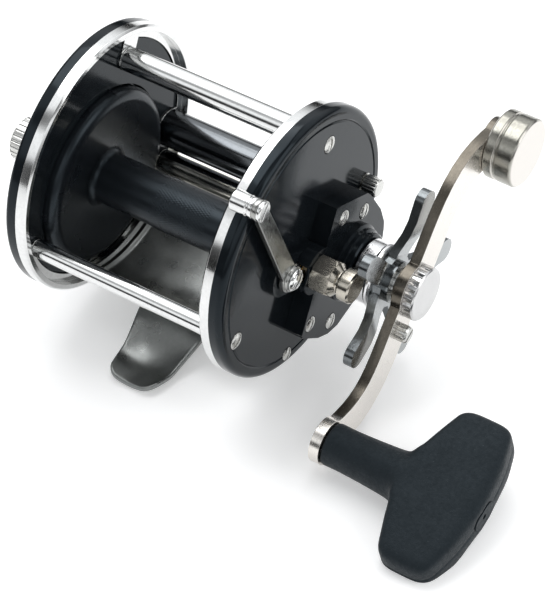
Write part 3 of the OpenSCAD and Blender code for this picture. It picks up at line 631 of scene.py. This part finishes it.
def knurled_band():
    """The fine diamond knurl rolled into the middle of the arbor."""
    half, radius, teeth = 9.5 * MM, 7.92 * MM, 64
    relief, pitch = 0.12 * MM, 0.78 * MM
    steps, rows = teeth * 4, 60
    work = bmesh.new()
    rings = []
    for j in range(rows + 1):
        x = -half + 2 * half * j / rows
        slant = x / pitch / 2
        fade = smoothstep(half - abs(x), 0, 0.5 * MM)
        ring = []
        for i in range(steps):
            turn = i / steps
            tooth = teeth * turn
            one_way = abs(math.sin(math.pi * (tooth + slant)))
            other_way = abs(math.sin(math.pi * (tooth - slant)))
            ridge = one_way * other_way
            r = radius + relief * (ridge - 0.3) * fade
            angle = 2 * math.pi * turn
            y, z = SPOOL[0] + r * math.cos(angle), SPOOL[1] + r * math.sin(angle)
            ring.append(work.verts.new((x, y, z)))
        rings.append(ring)
    for first, second in zip(rings, rings[1:]):
        for i in range(steps):
            k = (i + 1) % steps
            work.faces.new((first[i], second[i], second[k], first[k]))
    work.faces.new(rings[0])
    work.faces.new(list(reversed(rings[-1])))
    bmesh.ops.recalc_face_normals(work, faces=work.faces)
    mesh = mesh_from(work, "arbor_knurl")
    piece = add_object("arbor_knurl", mesh)
    mesh.materials.append(MATERIALS["black_spool"])
    smooth_by_angle(mesh, 30)
    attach(piece, BODY_OF["spool"])


dress_cad()
foot()
stand()
grip()
knurled_band()


# ---- Stage, light and camera ----

def stage():
    """A sheet of white paper under the foot, glowing faintly so that its shadows stay soft."""
    reach, gap = 3.0, 0.2 * MM
    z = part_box("reel_foot")[0].z - gap
    mesh = bpy.data.meshes.new("floor")
    corners = [(-reach, -reach, z), (reach, -reach, z), (reach, reach, z), (-reach, reach, z)]
    mesh.from_pydata(corners, [], [(0, 1, 2, 3)])
    floor = add_object("floor", mesh)
    s = Shader("floor_paper", (0.93, 0.93, 0.93), 0, 0.8)
    s.colour(s.blend(s.ramp(s.noise(30, 3), 0, 1), (0.925, 0.925, 0.925), (0.935, 0.935, 0.935)))
    s.bsdf.inputs["Emission Color"].default_value = (1, 1, 1, 1)
    s.bsdf.inputs["Emission Strength"].default_value = 0.3
    mesh.materials.append(s.material)


def studio():
    """The room: bright overhead, darker near the horizon, with a few broad dark flags."""
    world = bpy.data.worlds.new("studio")
    world.use_nodes = True
    bpy.context.scene.world = world
    nodes, links = world.node_tree.nodes, world.node_tree.links

    def soft_range(factor, start, end, low, high):
        """Maps factor from start..end onto low..high, with a soft start and end."""
        node = nodes.new("ShaderNodeMapRange")
        node.interpolation_type = "SMOOTHSTEP"
        ends = {"From Min": start, "From Max": end, "To Min": low, "To Max": high}
        for name, value in ends.items():
            node.inputs[name].default_value = value
        links.new(factor, node.inputs["Value"])
        return node.outputs["Result"]

    way = nodes.new("ShaderNodeTexCoord").outputs["Generated"]
    parts = nodes.new("ShaderNodeSeparateXYZ")
    links.new(way, parts.inputs[0])
    flags = nodes.new("ShaderNodeTexNoise")
    flags.inputs["Scale"].default_value = 1.7
    flags.inputs["Detail"].default_value = 1
    links.new(way, flags.inputs["Vector"])
    strength = nodes.new("ShaderNodeMath")
    strength.operation = "MULTIPLY"
    links.new(soft_range(parts.outputs["Z"], 0.02, 0.5, 0.16, 1.25), strength.inputs[0])
    links.new(soft_range(flags.outputs["Fac"], 0.4, 0.52, 0.12, 1), strength.inputs[1])
    background = nodes["Background"]
    background.inputs["Color"].default_value = (0.97, 0.985, 1, 1)
    links.new(strength.outputs[0], background.inputs["Strength"])


def softbox(name, place, size, power):
    """A rectangular lamp, size metres wide and high, aimed at the reel."""
    reel = Vector((0.01, 0, 0.04))
    lamp = bpy.data.lights.new(name, "AREA")
    lamp.shape = "RECTANGLE"
    lamp.size, lamp.size_y = size
    lamp.energy = power
    thing = add_object(name, lamp)
    thing.location = place
    thing.rotation_euler = (reel - Vector(place)).to_track_quat("-Z", "Y").to_euler()


def lights():
    """The room, with a key light from the front left and a weaker one from the right."""
    studio()
    softbox("key", (-0.25, 0.2, 0.75), (0.7, 0.6), 3.8)
    softbox("fill", (0.7, 0.2, 0.5), (0.5, 0.6), 2)


def camera():
    """A long lens from the right rear and above, fitted to the rings and pillars of the photo."""
    place = 0.3467, -0.4835, 0.5808
    forward = Vector((-0.396, 0.600, -0.695)).normalized()
    right = Vector((0.8346, 0.5509, 0)).normalized()
    up = right.cross(forward)
    data = bpy.data.cameras.new("camera")
    data.lens = 165.9
    data.sensor_width = 36
    thing = add_object("camera", data)
    turn = Matrix((right, up, -forward)).transposed().to_4x4()
    thing.matrix_world = Matrix.Translation(place) @ turn
    bpy.context.scene.camera = thing


stage()
lights()
camera()
bpy.context.scene.view_settings.view_transform = "Standard"
